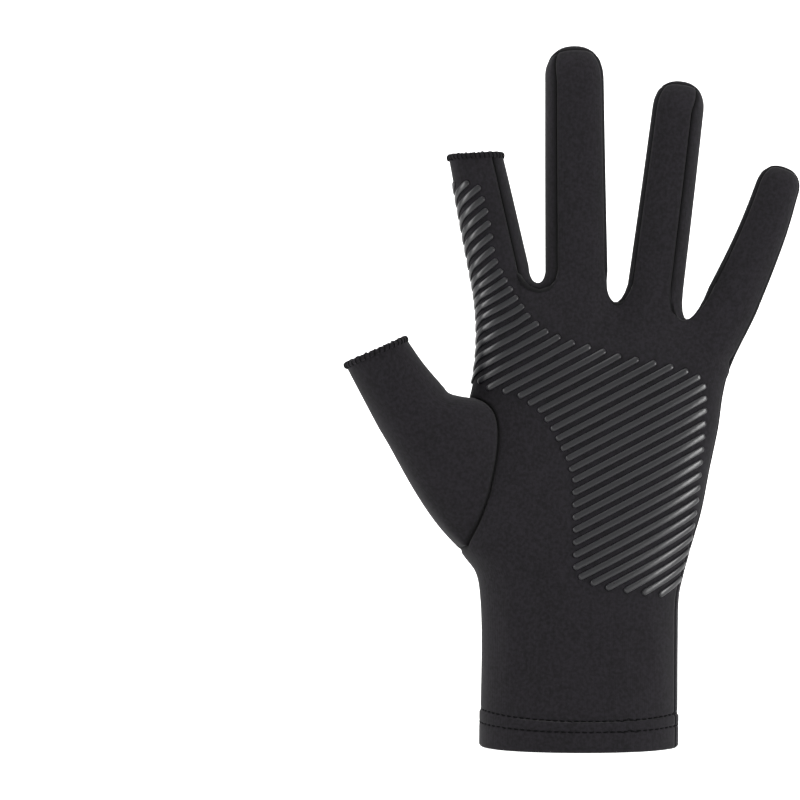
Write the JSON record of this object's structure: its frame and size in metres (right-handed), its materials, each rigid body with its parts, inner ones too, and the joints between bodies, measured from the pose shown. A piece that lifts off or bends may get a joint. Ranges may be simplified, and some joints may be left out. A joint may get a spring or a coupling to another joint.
{
  "type": "fishing glove",
  "caption": "Thin stretch glove for the left hand with open thumb and index tips and slanting raised grip bars across the palm and index finger.",
  "frame": {"origin": "centre of the wrist opening, in the plane of the cuff's end", "axes": "+Z from the wrist to the fingertips, +X across the palm from the thumb side to the little finger, +Y out of the back of the hand, so the palm faces -Y"},
  "size_m": [0.1528, 0.0469, 0.2327],
  "materials": {
    "stretch_fabric": "matt fine knit",
    "hem_fabric": "matt turned and stitched hem",
    "silicone_grip": "semi-gloss raised bars"
  },
  "bodies": {
    "root": {"palm_panel": "stretch_fabric", "back_panel": "stretch_fabric", "fourchette_index_middle": "stretch_fabric", "fourchette_middle_ring": "stretch_fabric", "fourchette_ring_little": "stretch_fabric", "thumb_sleeve": "stretch_fabric", "cuff_hem": "hem_fabric", "index_hem": "hem_fabric", "thumb_hem": "hem_fabric", "grip_bar_01": "silicone_grip", "grip_bar_02": "silicone_grip", "grip_bar_03": "silicone_grip", "grip_bar_04": "silicone_grip", "grip_bar_05": "silicone_grip", "grip_bar_06": "silicone_grip", "grip_bar_07": "silicone_grip", "grip_bar_08": "silicone_grip", "grip_bar_09": "silicone_grip", "grip_bar_10": "silicone_grip", "grip_bar_11": "silicone_grip", "grip_bar_12": "silicone_grip", "grip_bar_13": "silicone_grip", "grip_bar_14": "silicone_grip", "grip_bar_15": "silicone_grip", "grip_bar_16": "silicone_grip", "grip_bar_17": "silicone_grip", "grip_bar_18": "silicone_grip", "grip_bar_19": "silicone_grip", "grip_bar_20": "silicone_grip", "grip_bar_21": "silicone_grip", "grip_bar_22": "silicone_grip", "grip_bar_23": "silicone_grip", "grip_bar_24": "silicone_grip", "grip_bar_25": "silicone_grip", "grip_bar_26": "silicone_grip", "grip_bar_27": "silicone_grip", "grip_bar_28": "silicone_grip", "grip_bar_29": "silicone_grip", "grip_bar_30": "silicone_grip", "grip_bar_31": "silicone_grip", "grip_bar_32": "silicone_grip", "grip_bar_33": "silicone_grip", "grip_bar_34": "silicone_grip", "grip_bar_35": "silicone_grip", "grip_bar_36": "silicone_grip", "grip_bar_37": "silicone_grip", "grip_bar_38": "silicone_grip", "grip_bar_39": "silicone_grip", "grip_bar_40": "silicone_grip", "grip_bar_41": "silicone_grip", "grip_bar_42": "silicone_grip", "grip_bar_43": "silicone_grip"}
  },
  "joints": []
}
